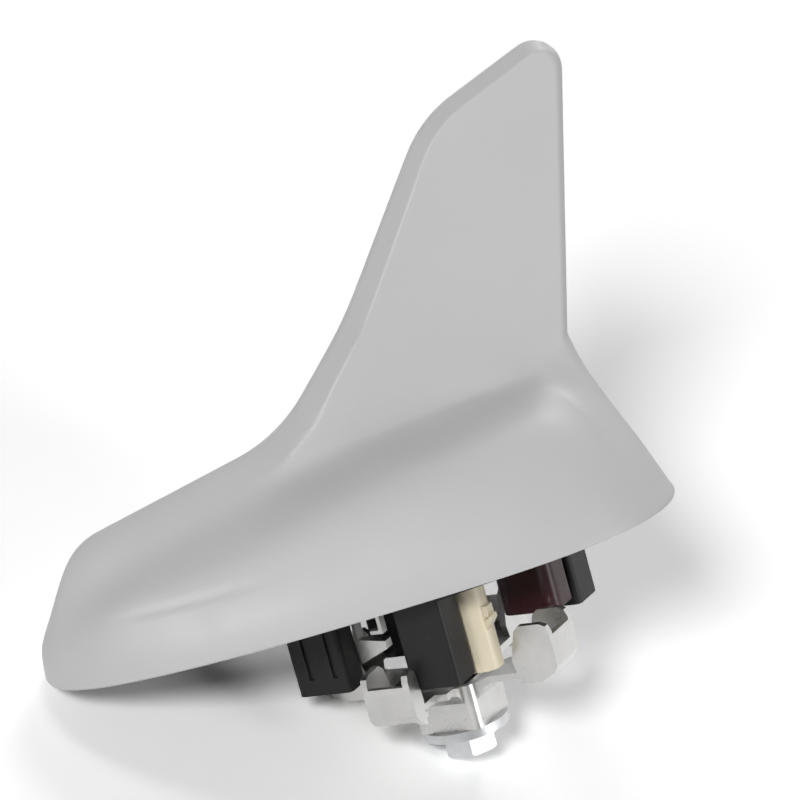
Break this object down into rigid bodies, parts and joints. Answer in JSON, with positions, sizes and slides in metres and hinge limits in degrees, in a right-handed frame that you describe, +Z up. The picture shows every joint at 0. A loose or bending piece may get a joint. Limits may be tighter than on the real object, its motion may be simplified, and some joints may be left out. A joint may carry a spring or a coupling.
{
  "type": "roof antenna",
  "caption": "Shark-fin roof antenna with a primed cover, coax connectors under its base and a claw that a flange bolt draws up against the roof skin.",
  "frame": {"origin": "on the clamp bolt's axis, on the roof skin's outer surface", "axes": "+X towards the car's rear, +Y towards its right side, +Z up"},
  "size_m": [0.1058, 0.0568, 0.106],
  "materials": {
    "primer_grey": "satin primer",
    "rubber": "matt",
    "black_plastic": "fine grain",
    "die_cast": "as cast",
    "board_green": "solder mask",
    "tinned_sheet": "tinned",
    "ceramic": "matt",
    "silver_print": "printed",
    "foam": "foam",
    "brass": "plated",
    "beige_plastic": "smooth",
    "bordeaux_plastic": "smooth",
    "spring_steel": "bright zinc",
    "white_plastic": "smooth",
    "zinc_steel": "zinc plated"
  },
  "bodies": {
    "antenna": {"cover": "primer_grey", "cover_seal": "rubber", "cover_frame": "black_plastic", "base_plate": "die_cast", "base_seal": "rubber", "circuit_board": "board_green", "shield_can": "tinned_sheet", "patch_antenna": "ceramic", "patch_electrode": "silver_print", "phone_radiator": "tinned_sheet", "fin_board": "board_green", "fin_pad": "foam", "contact_springs": "brass", "connector_holder": "black_plastic", "front_connector": "black_plastic", "side_connector_black": "black_plastic", "side_connector_beige": "beige_plastic", "rear_connector_bordeaux": "bordeaux_plastic", "rear_connector_black": "black_plastic", "blank_plug": "black_plastic", "ground_spring": "spring_steel", "contact_tubes": "brass", "contact_insulators": "white_plastic", "contact_pins": "brass", "cover_screws": "zinc_steel", "board_screws": "zinc_steel"},
    "claw": {"clamp_claw": "spring_steel"},
    "bolt": {"clamp_bolt": "zinc_steel", "bolt_retainer": "black_plastic"}
  },
  "joints": [
    {"name": "claw_lift", "type": "slide", "parent": "antenna", "child": "claw", "axis": [0, 0, 1], "range_m": [0, 0.0111]},
    {"name": "bolt_turn", "type": "hinge", "parent": "claw", "child": "bolt", "pos_m": [0, 0, 0], "axis": [0, 0, 1], "range_deg": [0, 3997]}
  ],
  "couplings": [
    {"joint": "bolt_turn", "follows": "claw_lift", "rad_per_m": 6283.2}
  ]
}
